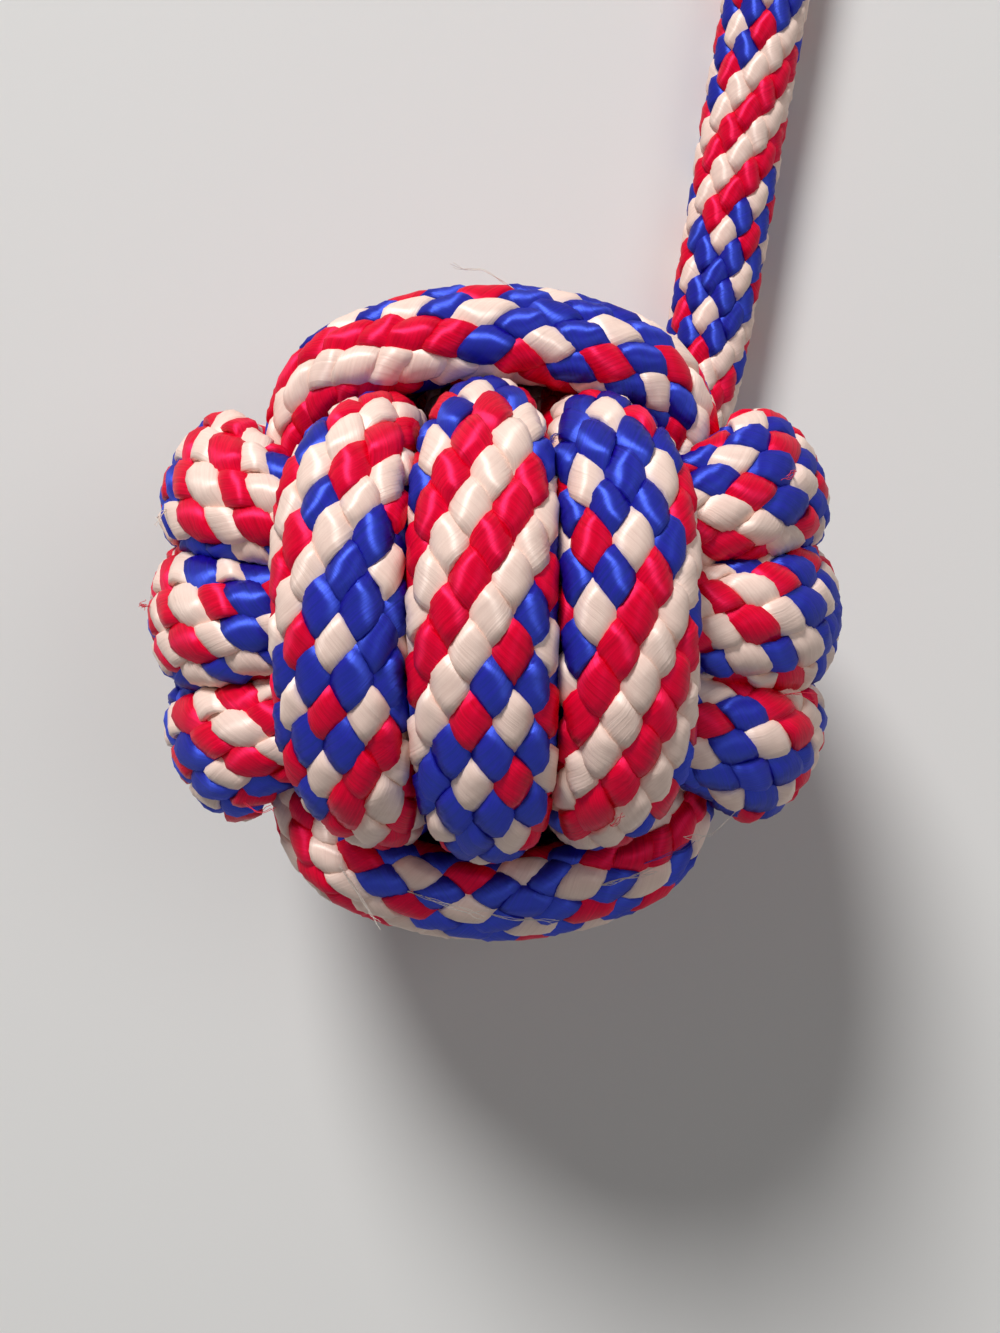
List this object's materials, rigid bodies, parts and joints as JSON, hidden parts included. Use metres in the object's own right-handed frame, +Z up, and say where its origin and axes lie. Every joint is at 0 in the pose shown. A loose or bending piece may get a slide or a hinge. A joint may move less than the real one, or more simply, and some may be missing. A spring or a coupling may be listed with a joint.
{
  "type": "monkey fist rope knot",
  "caption": "Ball-shaped monkey fist knot of thick braided rope round a hidden core ball, with a free tail ending in a stopper knot.",
  "frame": {"origin": "centre of the fist's footprint, on the table", "axes": "+Z up through the fist's front face, the tail leaves the fist towards +Y, +X to the right seen from above"},
  "size_m": [0.0885, 0.2175, 0.0743],
  "materials": {
    "rope_front": "satin braided rope",
    "rope_side": "satin braided rope",
    "rope_rim": "satin braided rope",
    "rope_tail": "satin braided rope",
    "rope_knot": "satin braided rope",
    "core_wood": "plain turned wood",
    "sealed_tip": "melted fibre"
  },
  "bodies": {
    "root": {"front_turns": "rope_front", "side_turns": "rope_side", "rim_turns": "rope_rim", "core_ball": "core_wood", "tail_rope": "rope_tail", "stopper_knot": "rope_knot", "rope_end": "sealed_tip"}
  },
  "joints": []
}
